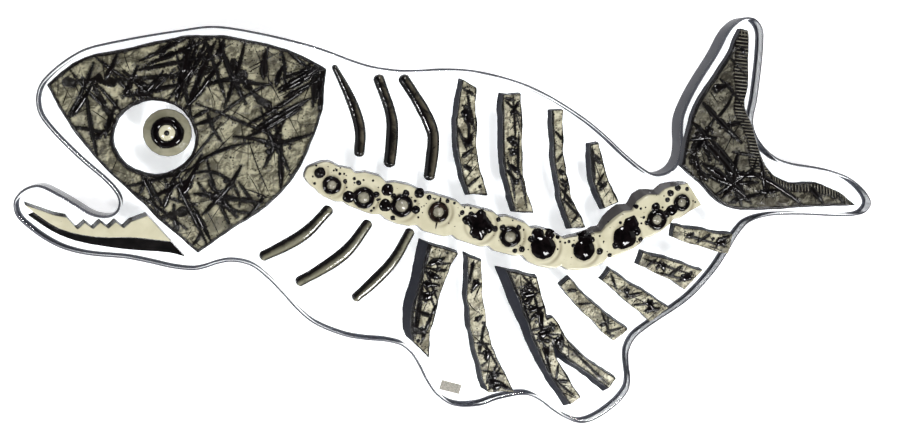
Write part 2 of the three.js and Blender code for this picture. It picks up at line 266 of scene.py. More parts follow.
def olive_glass(name, light, dark, pitting):
    finish = Finish(name)
    near = finish.pushed(9, 8)
    beside = finish.moved(near, (0.9, -0.8, 0))
    # painted light and shade: one noise minus itself moved aside, as if the folds were lit from one side
    emboss_shade = (finish.noise(11, 3, 0.55, at=near) - finish.noise(11, 3, 0.55, at=beside)) * 5.5
    patch, facet = finish.patches(17, near), finish.patches(8, near)
    cloud = finish.noise(24, 4, 0.55, 0.6)
    folds = finish.noise(6, 5, 0.62, 1.6)
    grime = finish.noise(2.4, 4, 0.65, 0.8)
    # random tone of the patches plus the painted fold shade
    tone_and_shade = cloud * 1.1 + patch * 0.36 + facet * 0.26 + folds * 0.34 + emboss_shade - 0.58
    colour = finish.blend(tone_and_shade.rise(0.0, 0.92), dark, light)
    veil = (patch + facet * 0.5).rise(0.78, 1.1) * finish.noise(11, 3).rise(0.38, 0.58)
    colour = finish.blend(veil * 0.68, colour, VEIL)
    # painted shade in thin crease lines along the cell edges
    crease = 1 - finish.cells(19, "DISTANCE_TO_EDGE").rise(0.006, 0.034)
    crease = crease * finish.noise(16).rise(0.45, 0.54)
    colour = finish.blend(crease * 0.7, colour, CREASE_SHADE)
    pits = 2 - finish.cells(2.2).rise(0.17, 0.31) - finish.cells(3.6).rise(0.1, 0.2)
    crowded = 0.6 - 0.2 * pitting
    pitted = pits * finish.noise(12, 2, 0.5, 0.4).rise(crowded, crowded + 0.06)
    colour = finish.blend(pitted.rise(0.2, 0.9) * 0.93, colour, PIT)
    sooty = (finish.soot() * 1.25 + folds * 0.9 + grime * 0.5 - 1.12).rise(0.0, 0.6)
    colour = finish.blend(sooty * 0.99, colour, SOOT)
    # painted shade where the top turns down to the rim
    colour = finish.blend(finish.facing_up().rise(0.8, 0.985), RIM_SHADE, colour)
    # painted shade: the sides below the top are a dark slate
    top = finish.above(OLIVE_TOP)
    side_shade = finish.blend(finish.noise(9, 3, 0.5, 0.4), SHADE_SLATE, PALE_SHADE_SLATE)
    colour = finish.blend(top, side_shade, colour)
    relief = finish.bump((folds * 0.8 + patch * 0.3 + facet * 0.3 - pitted * 0.3) * top, 0.9)
    rough = grime * 0.1 + 0.08 + (1 - top) * 0.5
    finish.surface(Base_Color=colour, Roughness=rough, IOR=1.5, Specular_IOR_Level=0.32, Normal=relief)
    return finish.material


# %% [markdown]
# ## Cream, black, brown and rod glass
# The cream is nearly plain and lives from its gloss and its soft mounds; its sides and the
# rim where its top turns down are darkened with painted shade. The black is drawn while
# hot, so its skin is smooth with a fine ripple that breaks highlights into glints. A rod
# acts as a lens, and that is painted: a painted highlight along its crown and painted shade
# along both flanks.

# %% Cream and dark glass
def cream_glass(name, side_height, side):
    finish = Finish(name)
    cloud = finish.noise(14, 4, 0.5, 0.5)
    colour = finish.blend(cloud.rise(0.3, 0.75), (0.5, 0.47, 0.33), (0.61, 0.58, 0.43))
    specks = (1 - finish.cells(4.5).rise(0.04, 0.09)) * finish.noise(9).rise(0.5, 0.6)
    colour = finish.blend(specks * 0.5, colour, (0.12, 0.09, 0.05))
    # on the spine this is painted shadow: crescents and rings round the vertebrae
    colour = finish.blend(finish.soot() * 0.85, colour, (0.15, 0.125, 0.075))
    # painted shade where the top turns down to the rim
    rim = finish.facing_up().rise(0.35, 0.8)
    colour = finish.blend(rim, (0.13, 0.115, 0.08), colour)
    # painted shade: the sides below the top take the side colour
    colour = finish.blend(finish.above(side_height), side, colour)
    relief = finish.bump(finish.noise(3.5, 2, 0.4), 0.12)
    finish.surface(Base_Color=colour, Roughness=0.2, IOR=1.5, Normal=relief)
    return finish.material


def dark_glass(name, first, second, rough, ripple, gloss=0.34):
    finish = Finish(name)
    cloud = finish.noise(6, 4, 0.6, 0.6)
    colour = finish.blend(cloud.rise(0.35, 0.7), first, second)
    skin = finish.bump(finish.noise(2.2, 2, 0.5, 0.3), ripple)
    finish.surface(Base_Color=colour, Roughness=rough, IOR=1.5, Specular_IOR_Level=gloss, Normal=skin)
    return finish.material


# %% Rod, iris and paper
def rod_glass(name, crown, shaded_flank, smoke, across):
    finish = Finish(name)
    normal = finish.node("ShaderNodeNewGeometry", {}, {}, "Normal")
    settings = {"operation": "DOT_PRODUCT"}
    lean = finish.node("ShaderNodeVectorMath", settings, {0: normal, 1: across}, 1)
    streak = finish.noise(7, 4, 0.6, 0.8)
    # painted light: a bright crown and shaded flanks, from how the surface faces across the rod
    lens = (lean + streak * 0.4 - 0.17 - smoke).rise(-0.42, 0.22) * (1 - lean.rise(0.3, 0.62))
    smoky = finish.noise(13, 4, 0.6, 0.8).rise(0.62 - smoke, 0.78 - smoke)
    colour = finish.blend(lens * (1 - smoky * 0.85), shaded_flank, crown)
    finish.surface(Base_Color=colour, Roughness=0.06, IOR=1.5, Normal=finish.bump(streak, 0.25))
    return finish.material


def iris_glass():
    """Olive glass of one even sheet, with a thin rim of painted shade where it drops away."""
    finish = Finish("olive_glass_iris")
    cloud = finish.noise(7, 4, 0.5, 0.8)
    colour = finish.blend(cloud.rise(0.3, 0.7), (0.21, 0.201, 0.137), (0.27, 0.257, 0.18))
    specks = (1 - finish.cells(3.3).rise(0.05, 0.1)) * 0.6
    colour = finish.blend(specks, colour, (0.06, 0.05, 0.035))
    # painted shade where the disc drops away
    rim = finish.facing_up().rise(0.55, 0.85)
    colour = finish.blend(rim, (0.05, 0.048, 0.045), colour)
    finish.surface(Base_Color=colour, Roughness=0.15, IOR=1.5, Normal=finish.bump(cloud, 0.3))
    return finish.material


def paper():
    finish = Finish("paper")
    fibre = finish.noise(0.7, 4, 0.7)
    colour = finish.blend(fibre.rise(0.35, 0.7), (0.2, 0.19, 0.165), (0.44, 0.42, 0.36))
    finish.surface(Base_Color=colour, Roughness=0.75, Normal=finish.bump(fibre, 0.05))
    return finish.material


# %% All finishes
PITCH = (0.0015, 0.0012, 0.0014)
CLEAR = clear_sheet()
OLIVE_HEAD = olive_glass("olive_glass_head", (0.38, 0.36, 0.25), (0.075, 0.069, 0.047), 0.5)
OLIVE_SLAB = olive_glass("olive_glass_slab", (0.58, 0.55, 0.405), (0.14, 0.127, 0.087), 1.05)
OLIVE_TAIL = olive_glass("olive_glass_tail", (0.205, 0.195, 0.147), (0.03, 0.027, 0.02), 0.5)
OLIVE_IRIS = iris_glass()
# the last colour of each cream finish is the painted shade of its sides
CREAM = cream_glass("cream_glass", 6.9, (0.085, 0.078, 0.078))
CREAM_JAW = cream_glass("cream_glass_jaw", 6.2, (0.02, 0.017, 0.015))
PUPIL = cream_glass("cream_glass_pupil", 0.0, (0.5, 0.46, 0.34))
BLACK = dark_glass("black_glass", PITCH, (0.005, 0.0035, 0.0035), 0.05, 0.19, 0.4)
BLACK_DROP = dark_glass("black_glass_drop", PITCH, (0.006, 0.004, 0.0045), 0.07, 0.05, 0.26)
BAND_BLACK = dark_glass("black_glass_band", (0.004, 0.004, 0.004), (0.01, 0.009, 0.009), 0.16, 0.05)
BROWN = dark_glass("brown_glass", (0.004, 0.0025, 0.002), (0.02, 0.0115, 0.008), 0.08, 0.06, 0.26)
KHAKI = dark_glass("khaki_glass", (0.16, 0.15, 0.11), (0.36, 0.34, 0.27), 0.06, 0.1, 0.5)
RIDGE = dark_glass("olive_glass_ridge", (0.06, 0.055, 0.04), (0.17, 0.16, 0.122), 0.16, 0.1)
# the last vector points across the rods, to the side on which the painted bright band lies
ROD_OLIVE = rod_glass("rod_glass", (0.19, 0.182, 0.13), (0.008, 0.007, 0.007), 0.05, (0.74, -0.67, 0.0))
# the smoky rods' painted highlight colour and painted flank shade
SMOKY_LIT_CROWN, SMOKY_FLANK_SHADE = (0.085, 0.074, 0.053), (0.003, 0.0026, 0.003)
ROD_SMOKY = rod_glass("rod_glass_smoky", SMOKY_LIT_CROWN, SMOKY_FLANK_SHADE, 0.2, (0.95, 0.3, 0.0))
PAPER = paper()
print("finishes:", len(bpy.data.materials))

# %% [markdown]
# ## Outlines out of the solids
# The sheet and the combed edge of the tail need the outline as an ordered line. The
# solid gives it: the edges whose two ends lie at one height form closed loops there.

# %% Ordered loops at a height
WELD = 0.005 * MM


def loops_at(node, height, slack=0.05 * MM):
    """The closed outlines of a solid at one height, each as a list of points."""
    mesh = bmesh.new()
    mesh.from_mesh(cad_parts[node].data)
    bmesh.ops.remove_doubles(mesh, verts=mesh.verts, dist=WELD)
    beside = {}
    for edge in mesh.edges:
        level = all(abs(v.co.z - height) < slack for v in edge.verts)
        flat = all(abs(face.normal.z) > 0.99 for face in edge.link_faces)
        if level and not flat:
            first, second = edge.verts
            beside.setdefault(first.index, []).append(second.index)
            beside.setdefault(second.index, []).append(first.index)
    mesh.verts.ensure_lookup_table()
    loops = []
    unseen = set(beside)
    while unseen:
        loop, onward = [], [min(unseen)]
        while onward:
            loop.append(onward[0])
            unseen.discard(onward[0])
            onward = [i for i in beside[loop[-1]] if i in unseen]
        loops.append([Vector(mesh.verts[i].co[:2]) for i in loop])
    mesh.free()
    return sorted(loops, key=len, reverse=True)


def left_turning(loop):
    """A loop in counter-clockwise order: its area comes out positive."""
    area = sum(a.x * b.y - b.x * a.y for a, b in zip(loop, loop[1:] + loop[:1])) / 2
    return loop if area > 0 else loop[::-1]


def between(a, b, c, d, t):
    """A place between b and c on a smooth curve that also heeds a and d."""
    lift, drop = t * (1 - t) ** 2, t * t * (t - 1)
    return b.lerp(c, t * t * (3 - 2 * t)) + (c - a) * 0.5 * lift + (d - b) * 0.5 * drop


def smooth_loop(loop, per_span):
    """The same closed line with more points, rounded through all of them."""
    points = []
    for i in range(len(loop)):
        corners = [loop[(i + k) % len(loop)] for k in (-1, 0, 1, 2)]
        points += [between(*corners, step / per_span) for step in range(per_span)]
    return points


def drawn_in(loop, distance):
    """A counter-clockwise loop moved inwards."""
    moved = []
    for i, at in enumerate(loop):
        along = (loop[(i + 1) % len(loop)] - loop[i - 1]).normalized()
        moved.append(at + Vector((-along.y, along.x)) * distance)
    return moved


def middle_line(node, height):
    """The middle of a strip-shaped solid: places along it, and its width at each."""
    loop = loops_at(node, height, 0.1 * MM)[0]
    half = len(loop) // 2
    turns = [loop[turn:] + loop[:turn] for turn in range(half)]
    pairings = [list(zip(spun[:half], reversed(spun[half:]))) for spun in turns]
    best = min(pairings, key=lambda pairs: sum((a - b).length for a, b in pairs))
    return [((a + b) / 2, (a - b).length) for a, b in best]


# %% [markdown]
# ## The clear sheet's shape
# A laser-cut sheet is polished until its edges turn over in a small round. That round is
# what the eye reads, as two or three thin dark lines along the rim, so it is modelled
# with rings rather than left to a bevel of one cut.

# %% Clear sheet
EDGE_ROUND = 2.6 * MM
EDGE_LAND = 0.4 * MM
EDGE_STEPS = 7


def add_piece(name, points, faces, finish):
    """A new mesh object on the root body."""
    mesh = bpy.data.meshes.new(name)
    mesh.from_pydata(points, [], faces)
    mesh.validate()
    mesh.update()
    mesh.materials.append(finish)
    mesh.shade_smooth()
    piece = new_object(name, mesh)
    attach(piece, "root")
    return piece


def walls(count, rings, start=0):
    """Faces that join each ring of points to the next one."""
    faces = []
    for ring in range(start, start + (rings - 1) * count, count):
        for i in range(count):
            a, b = ring + i, ring + (i + 1) % count
            faces.append((a, b, b + count, a + count))
    return faces


def sheet_mesh(loop):
    """Rings up the rounded wall of a sheet, closed by a flat face above and below."""
    profile = [(EDGE_ROUND + EDGE_LAND, 0.0)]
    for step in range(EDGE_STEPS + 1):
        turn = math.pi / 2 * step / EDGE_STEPS
        profile.append((EDGE_ROUND * (1 - math.sin(turn)), EDGE_ROUND * (1 - math.cos(turn))))
    profile += [(inset, THICKNESS - z) for inset, z in reversed(profile)]
    points = []
    for inset, z in profile:
        points += [(*at, z) for at in drawn_in(loop, inset)]
    faces = walls(len(loop), len(profile))
    cap = tessellate_polygon([[Vector((*at, 0)) for at in drawn_in(loop, profile[0][0])]])
    lid = (len(profile) - 1) * len(loop)
    for a, b, c in cap:
        corner = [Vector(points[i]) for i in (a, b, c)]
        if (corner[1] - corner[0]).cross(corner[2] - corner[0]).z < 0:
            b, c = c, b
        faces.append((a, c, b))
        faces.append((lid + a, lid + b, lid + c))
    return points, faces


rim = smooth_loop(left_turning(loops_at("panel", 2 * MM)[0]), 6)
panel = add_piece("clear_panel", *sheet_mesh(rim), CLEAR)
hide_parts("panel")
round_way = sum((b - a).length for a, b in zip(rim, rim[1:]))
print("rim points:", len(rim), "round the sheet:", round(round_way, 3), "m")

# %% [markdown]
# ## Fused glass pieces
# Fused glass has no sharp edge: in the kiln it slumps until every edge is round. The
# Remesh modifier rebuilds each solid from small cells and the Smooth modifier melts them,
# which gives just that. Then the top is pushed up and down by noise, as folds.

# %% Melting a solid
def places_of(mesh):
    """The points of a mesh, one row each."""
    places = np.zeros(len(mesh.vertices) * 3)
    mesh.vertices.foreach_get("co", places)
    return places.reshape(-1, 3)


def rebuilt(node, name, cell, rounds):
    """A copy of a solid from cells of so many millimetres, with its edges melted round."""
    piece = new_object(name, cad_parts[node].data.copy())
    piece.data.name = name
    piece.data.materials.clear()
    weld = piece.modifiers.new("weld", "WELD")
    weld.merge_threshold = WELD
    remesh = piece.modifiers.new("remesh", "REMESH")
    remesh.mode = "VOXEL"
    remesh.voxel_size = cell * MM
    smooth = piece.modifiers.new("smooth", "SMOOTH")
    smooth.factor = 0.5
    smooth.iterations = rounds
    view = bpy.context.evaluated_depsgraph_get()
    mesh = bpy.data.meshes.new_from_object(piece.evaluated_get(view))
    piece.modifiers.clear()
    piece.data = mesh
    return piece


# %% [markdown]
# ## Moving the melted points
# What the kiln does to each piece is a few small moves of all its points at once, so they
# are kept as rows of numbers. Folds and mounds move the top up and down. The outline
# wanders, is pinched between two vertebrae, melts back at one corner, or leans less.

# %% Moves
TOP_BAND = 2 * MM
WANDER_SIZE = 13 * MM
SCALLOP, PINCH = 0.1, 7 * MM
RELAX_ROUNDS = 90


def fold_top(places, up, depth, size):
    """Push the top up and down by noise, as rounded waves and sharper creases."""
    for i in np.flatnonzero((up > 0.3) & (places[:, 2] > places[:, 2].max() - TOP_BAND)):
        at = Vector(places[i]) / (size * MM)
        wave = noise.noise(at) + 0.5 * noise.noise(at * 2.5)
        crease = 1 - abs(noise.noise(at / 1.7 + Vector((7, 3, 1)))) * 2.4
        places[i, 2] += up[i] * depth * MM * (wave * 0.5 + max(0.0, crease) * 0.8 - 0.35)


# %% Moves of the outline
def foot_on(line, flat):
    """For each place: the nearest place on an open line, and how far along it that is."""
    nearest, best, along = np.zeros_like(flat), np.full(len(flat), np.inf), np.zeros(len(flat))
    for i, (a, b) in enumerate(zip(line, line[1:])):
        t = np.clip(((flat - a) @ (b - a)) / ((b - a) @ (b - a)), 0, 1)
        foot = a + t[:, None] * (b - a)
        gap = np.hypot(*(flat - foot).T)
        closer = gap < best
        nearest[closer], best[closer], along[closer] = foot[closer], gap[closer], (i + t)[closer]
    return nearest, along


def scallop(places, centres):
    """Widen a strip beside each centre on it and pinch it half way between them."""
    line = np.array([[c.x, c.y] for c in centres])
    flat = places[:, :2]
    gaps = np.sort(np.hypot(*(flat[:, None, :] - line[None, :, :]).transpose(2, 0, 1)), axis=1)
    nearest, _ = foot_on(line, flat)
    beside = np.clip((gaps[:, 1] - gaps[:, 0]) / PINCH, 0, 1)
    places[:, :2] = nearest + (flat - nearest) * (1 + SCALLOP * (1.7 * beside - 1.0))[:, None]


def relax(mesh, places, centre, reach):
    """Melt the outline some more near one place: every point moves to its neighbours' middle."""
    ends = np.zeros(len(mesh.edges) * 2, dtype=int)
    mesh.edges.foreach_get("vertices", ends)
    others = ends.reshape(-1, 2)[:, ::-1].ravel()
    many = np.maximum(np.bincount(ends, minlength=len(places)), 1)
    gap = np.hypot(places[:, 0] - centre[0], places[:, 1] - centre[1])
    share = np.exp(-((gap / reach) ** 4))
    for _ in range(RELAX_ROUNDS):
        for axis in (0, 1):
            total = np.bincount(ends, places[others, axis], len(places))
            places[:, axis] += share * (total / many - places[:, axis])


def widen_top(node, places, share):
    """Push the leaning side of a slab back out, by a share of its lean at each height."""
    low, high = (corner[2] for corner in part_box(node))
    foot = middle_line(node, low)
    crown = middle_line(node, high)
    line = np.array([[at.x, at.y] for at, _ in foot])
    width = np.array([wide for _, wide in foot])
    shift = np.array([[at.x, at.y] for at, _ in crown]).mean(axis=0) - line.mean(axis=0)
    lean = 1 - np.mean([wide for _, wide in crown]) / width.mean()
    flat = places[:, :2]
    nearest, along = foot_on(line, flat)
    step = np.minimum(along.astype(int), len(line) - 2)
    way = line[step + 1] - line[step]
    side = np.stack([-way[:, 1], way[:, 0]], axis=1) / np.linalg.norm(way, axis=1)[:, None]
    side *= np.sign(side @ shift)[:, None]
    half = np.interp(along, np.arange(len(width)), width) / 2
    across = np.clip(((flat - nearest) * side).sum(axis=1) / half, -1, 1)
    height = np.clip((places[:, 2] - low) / (high - low), 0, 1)
    start = -1 + 2 * lean * height
    wanted = -1 + 2 * (across - start) / np.maximum(1 - start, 0.2)
    places[:, :2] += side * (share * (np.clip(wanted, -1, 1) - across) * half)[:, None]


def sideways(at):
    """A steady push across the sheet: one noise read at two far places, so its two ways differ."""
    return Vector((noise.noise(at), noise.noise(at + Vector((31.4, 17.9, 5.3)))))


def let_wander(places, reach):
    """Push every point sideways by up to about so many millimetres, so outlines waver."""
    for i, at in enumerate(places):
        low = Vector((at[0], at[1], 0)) / WANDER_SIZE
        push = sideways(low) + 0.3 * sideways(low * 2.7)
        places[i, :2] += (push.x * reach * MM, push.y * reach * MM)


# %% [markdown]
# ## The melted pieces
# One function runs a solid through the kiln and then through the moves that it needs. The
# head, the tail and the slabs fold and wander, the spine has mounds, and the jaw and the
# iris stay plain.

# %% Head, tail, spine, jaw and iris
def melted(node, name, slot, cell, rounds, finish, fold=None, wander=0, mounds=(), upright=0, soften=None):
    """A kiln-softened copy of a solid, with folds and mounds on its top."""
    piece = rebuilt(node, name, cell, rounds)
    mesh = piece.data
    places = places_of(mesh)
    normals = np.zeros(places.size)
    mesh.vertex_normals.foreach_get("vector", normals)
    up = np.clip(normals.reshape(-1, 3)[:, 2], 0.0, 1.0)
    if fold:
        fold_top(places, up, *fold)
    if soften:
        relax(mesh, places, *soften)
    if upright:
        widen_top(node, places, upright)
    if wander:
        let_wander(places, wander)
    for centre, reach, rise in mounds:
        gap = np.hypot(places[:, 0] - centre.x, places[:, 1] - centre.y)
        places[:, 2] += np.where(up > 0.2, up, 0.0) * rise * np.exp(-((gap / reach) ** 2))
    if mounds:
        scallop(places, [centre for centre, _, _ in mounds])
    mesh.vertices.foreach_set("co", places.ravel())
    mesh.update()
    mesh.materials.append(finish)
    mesh.shade_smooth()
    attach(piece, "root")
    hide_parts(node)
    return piece


def centre_of(node):
    low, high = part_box(node)
    return Vector(((low[0] + high[0]) / 2, (low[1] + high[1]) / 2))


def radius_of(node):
    low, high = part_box(node)
    return (high[0] - low[0]) / 2


VERTEBRAE = [f"vertebra_{i + 1}" for i in range(12)]
mounds = [(centre_of(node), radius_of(node) * 1.3, 1.3 * MM) for node in VERTEBRAE]
head = melted("head", "head_glass", "olive_glass", 0.6, 3, OLIVE_HEAD, fold=(0.6, 11), wander=0.7)
tail = melted("tail", "tail_glass", "olive_glass", 0.6, 3, OLIVE_TAIL, fold=(0.5, 9), wander=0.7)
SPINE_TIP = (-117.5 * MM, 43.0 * MM)
tip = (SPINE_TIP, 7 * MM)
spine = melted("spine", "spine_glass", "cream_glass", 0.5, 8, CREAM, mounds=mounds, soften=tip)
melted("jaw", "jaw_glass", "cream_glass", 0.35, 1, CREAM_JAW)
melted("jaw_band", "jaw_band_glass", "black_glass", 0.35, 2, BAND_BLACK)
iris = melted("eye_iris", "eye_iris_glass", "olive_glass", 0.4, 3, OLIVE_IRIS)
print("head faces:", len(head.data.polygons), "spine faces:", len(spine.data.polygons))

# %% [markdown]
# ## Ribs
# The ribs by the head are pulled rods; the others are slabs sawn from thick sheet and
# melted as above. A rod is better swept than melted: one round section travels along the
# middle line of the solid, and draws in at both ends, where the rod was snapped and
# rounded by the flame.

# %% A pulled rod
ROD_AROUND = 28
# a rod keeps at least this share of its usual width, rounds off over this share of it,
# and ends with this much of its section
EVEN_WIDTH, ROUND_REACH, END_SIZE = 0.92, 0.36, 0.12
# a rod's solid is widest at this share of its height, so its middle line is read there
ROD_LEVEL = 0.35


class Heap:
    """Closed bodies gathered into one mesh."""

    def __init__(self):
        self.points = []
        self.faces = []

    def tube(self, rings):
        """A closed body through rings of equal count, capped at both ends."""
        start, count = len(self.points), len(rings[0])
        for ring in rings:
            self.points += [tuple(at) for at in ring]
        self.faces += walls(count, len(rings), start)
        end = start + (len(rings) - 1) * count
        self.faces.append(tuple(start + i for i in reversed(range(count))))
        self.faces.append(tuple(end + i for i in range(count)))

    def piece(self, name, finish, slot, *nodes):
        """The whole heap as one object, in the place of the nodes given."""
        piece = add_piece(name, self.points, self.faces, finish)
        if nodes:
            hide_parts(*nodes)
        return piece


def smooth_line(stations, per_span):
    """More stations along an open line, rounded through the given ones."""
    padded = [stations[0]] + stations + [stations[-1]]
    more = []
    for four in zip(padded, padded[1:], padded[2:], padded[3:]):
        for step in range(per_span):
            t = step / per_span
            width = four[1][1] * (1 - t) + four[2][1] * t
            more.append((between(*[at for at, _ in four], t), width))
    return more + [stations[-1]]


def pulled_rod(node, finish, even=EVEN_WIDTH):
    """A round rod along the middle line of a solid, drawn in at both ends."""
    low, high = (corner[2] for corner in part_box(node))
    stations = smooth_line(middle_line(node, low + ROD_LEVEL * (high - low)), 8)
    least = even * sorted(width for _, width in stations)[len(stations) // 2]
    walked = [0.0]
    for (a, _), (b, _) in zip(stations, stations[1:]):
        walked.append(walked[-1] + (b - a).length)
    rings = []
    for i, (at, width) in enumerate(stations):
        before, after = stations[max(i - 1, 0)][0], stations[min(i + 1, len(stations) - 1)][0]
        along = (after - before).normalized()
        side = Vector((-along.y, along.x))
        tip = min(walked[i], walked[-1] - walked[i])
        width = max(width, least)
        share = min(1.0, tip / (ROUND_REACH * width))
        size = math.sqrt(max(END_SIZE, 1 - (1 - share) ** 2))
        swell = 1 + 0.05 * noise.noise(Vector((at.x * 90, at.y * 90, 4)))
        ring = []
        for k in reversed(range(ROD_AROUND)):
            turn = 2 * math.pi * k / ROD_AROUND
            out = math.cos(turn) * width / 2 * size * swell
            rise = (high - low) / 2 * (1 + math.sin(turn) * size)
            ring.append((at.x + side.x * out, at.y + side.y * out, low + rise))
        rings.append(ring)
    rod = Heap()
    rod.tube(rings)
    rod.piece(f"{node}_rod", finish, "rod_glass", node)


# %% Rods and slabs
SLABS = [f"rib_upper_{i}" for i in range(4, 8)] + [f"rib_lower_{i}" for i in range(4, 11)]
# one rod keeps its own slender taper
pulled_rod("rib_upper_1", ROD_SMOKY, even=0.0)
pulled_rod("rib_upper_2", ROD_SMOKY)
pulled_rod("rib_upper_3", ROD_SMOKY)
for i in (1, 2, 3):
    pulled_rod(f"rib_lower_{i}", ROD_OLIVE)
FORK_ROOT = (54.4 * MM, -63.1 * MM)
# how far a slab's leaning side is pushed back out
UPRIGHT = {"rib_lower_5": 0.45}
UPRIGHT.update({f"rib_lower_{i}": 1.0 for i in (7, 8, 9, 10)})
slabs = []
for node in SLABS:
    moves = {"fold": (0.4, 7), "wander": 1.2, "upright": UPRIGHT.get(node, 0.0)}
    if node == "rib_lower_6":
        moves["soften"] = (FORK_ROOT, 6 * MM)
    slabs.append(melted(node, f"{node}_slab", "olive_glass", 0.5, 5, OLIVE_SLAB, **moves))
print("slabs:", len(slabs))

# %% [markdown]
# ## Black strokes
# Thin rods and splinters of black glass were laid on the sheets and fired down. Each one
# is a low domed ribbon that follows the surface under it. To find that surface, a ray is
# dropped on the melted mesh at every step of the stroke.

# %% The ground that strokes lie on
TOP_DEPTH = 2.2 * MM
RAY_START = 10 * MM


class Ground:
    """The top of a melted piece, for laying things on."""

    def __init__(self, piece):
        self.piece = piece
        places = places_of(piece.data)
        faces = [tuple(face.vertices) for face in piece.data.polygons]
        self.tree = BVHTree.FromPolygons(places.tolist(), faces)
        self.low, self.high = Vector(places.min(axis=0)), Vector(places.max(axis=0))
        # places where soot gathers, each with how wide it is
        self.marks = []

    def spot(self, rng):
        """Any place in the box around the piece."""
        return Vector([rng.uniform(self.low[k], self.high[k]) for k in (0, 1)])

    def height(self, at):
        """How high the glass is at a place, or None beside it."""
        hit = self.tree.ray_cast(Vector((at.x, at.y, self.high.z + RAY_START)), Vector((0, 0, -1)))
        return hit[0].z if hit[0] is not None else None

    def holds(self, at, margin, floor=None):
        """Whether a place and the ones around it are all on top of the glass."""
        floor = self.high.z - TOP_DEPTH if floor is None else floor
        for turn in range(6):
            side = Vector((math.cos(turn * math.pi / 3), math.sin(turn * math.pi / 3))) * margin
            height = self.height(at + side)
            if height is None or height < floor:
                return False
        return True


# %% Laying strokes and drops
# the section of a stroke, and the profiles of a drop and of a ring: across, and how high
SIDE = [(1.0, -0.25), (0.82, 0.45), (0.42, 0.88)]
SECTION = [(-across, rise) for across, rise in SIDE] + [(0.0, 1.0)] + SIDE[::-1]
DOME = [(share, 1 - share**2.2) for share in (0.45, 0.75, 0.93, 1.0)]
RING = [(share, math.sqrt(1 - (share * 2 - 1) ** 2)) for share in (0.0, 0.12, 0.3, 0.5, 0.7, 0.88, 1.0)]
# how deep the rim of a stroke or drop sinks in, and how deep a drop's underside reaches
SINK, FOOT = 0.12 * MM, 0.3 * MM
# how far a stroke's side may hang down, and how high a stroke may be
HANG, HIGHEST = 1.5 * MM, 1.3 * MM


class Laid(Heap):
    """Strokes and drops of glass that lie on other glass."""

    def stroke(self, ground, line, widths, height):
        """A domed ribbon along a line of places, as wide as given at each of them."""
        rings = []
        for i, at in enumerate(line):
            along = (line[min(i + 1, len(line) - 1)] - line[max(i - 1, 0)]).normalized()
            side = Vector((-along.y, along.x))
            middle = ground.height(at)
            if middle is None:
                return
            ring = []
            for across, rise in SECTION:
                spot = at - side * across * widths[i] / 2
                level = ground.height(spot)
                level = middle if level is None else max(level, middle - HANG)
                lift = rise * height * min(1.0, widths[i] / widths[len(line) // 2] + 0.2)
                ring.append((spot.x, spot.y, level + lift - SINK))
            rings.append(ring[::-1])
        self.tube(rings)

    def blob(self, ground, centre, radius, height, ragged, seed, hole=0.0, steps=28):
        """A low dome with an uneven rim, or a ring when it has a hole."""
        start = len(self.points)
        middle = ground.height(centre)
        rows = RING if hole else DOME
        for share, rise in rows:
            for i in range(steps):
                turn = 2 * math.pi * i / steps
                way = Vector((math.cos(turn), math.sin(turn)))
                rough = noise.noise(Vector((way.x * 1.3, way.y * 1.3, seed)))
                fine = noise.noise(Vector((way.x * 3.4, way.y * 3.4, seed + 9)))
                outside = radius * (1 + ragged * (rough + 0.35 * fine))
                inside = hole * (1 + 0.3 * ragged * fine)
                spot = centre + way * (inside + (outside - hole) * share)
                level = ground.height(spot)
                level = middle if level is None else level
                self.points.append((spot.x, spot.y, level + height * rise - SINK))
        self.faces += [(a, d, c, b) for a, b, c, d in walls(steps, len(rows), start)]
        last = start + (len(rows) - 1) * steps
        rim = [(i, (i + 1) % steps) for i in range(steps)]
        if hole:
            self.faces += [(start + i, start + j, last + j, last + i) for i, j in rim]
            return
        crown = len(self.points)
        self.points.append((centre.x, centre.y, middle + height - SINK))
        self.points.append((centre.x, centre.y, middle - FOOT))
        for i, j in rim:
            self.faces.append((crown, start + i, start + j))
            self.faces.append((crown + 1, last + j, last + i))


def curve_line(start, angle, length, bend, steps):
    """Places along a line that turns evenly by the bend, in degrees."""
    line = [start.copy()]
    for i in range(steps):
        turn = math.radians(angle + bend * (i / steps - 0.5))
        line.append(line[-1] + Vector((math.cos(turn), math.sin(turn))) * length / steps)
    return line


def longest_run(ground, line, margin):
    """The longest stretch of a line that lies on the glass."""
    best, run = [], []
    for at in line:
        run = run + [at] if ground.holds(at, margin) else []
        best = run if len(run) > len(best) else best
    return best


def taper(count, width, start, end):
    """Widths along a stroke: drawn out at its two ends by the shares given."""
    widths = []
    for i in range(count):
        t = i / max(1, count - 1)
        share = min(1.0, t / start if start else 1.0, (1 - t) / end if end else 1.0) ** 0.7
        uneven = 1 + 0.35 * noise.noise(Vector((t * count / 4, width / MM * 7.7, 1.5)))
        widths.append(width * uneven * max(0.12, share))
    return widths


def lay(ground, heap, line, width, ends, rise, least, mark=1.0, margin=0.1 * MM):
    """Lay a stroke on the part of a line that is on the glass, if that is long enough."""
    line = longest_run(ground, line, width / 2 + margin)
    if len(line) < least:
        return False
    widths = taper(len(line), width, *ends)
    heap.stroke(ground, line, widths, min(width * rise, HIGHEST))
    if mark:
        ground.marks += [(at, wide * mark) for at, wide in zip(line, widths)]
    return True


# %% [markdown]
# ## How the strokes lie
# Nobody placed them one by one with care: they fell in crossing bundles. A family of
# strokes has a count, a range of lengths and widths in millimetres, the ways it may
# point, how much it bends and how far it is drawn out at its ends. A fixed seed makes the
# fall the same every time.

# %% Families, bursts, bundles and veils
STEP = 1.6 * MM


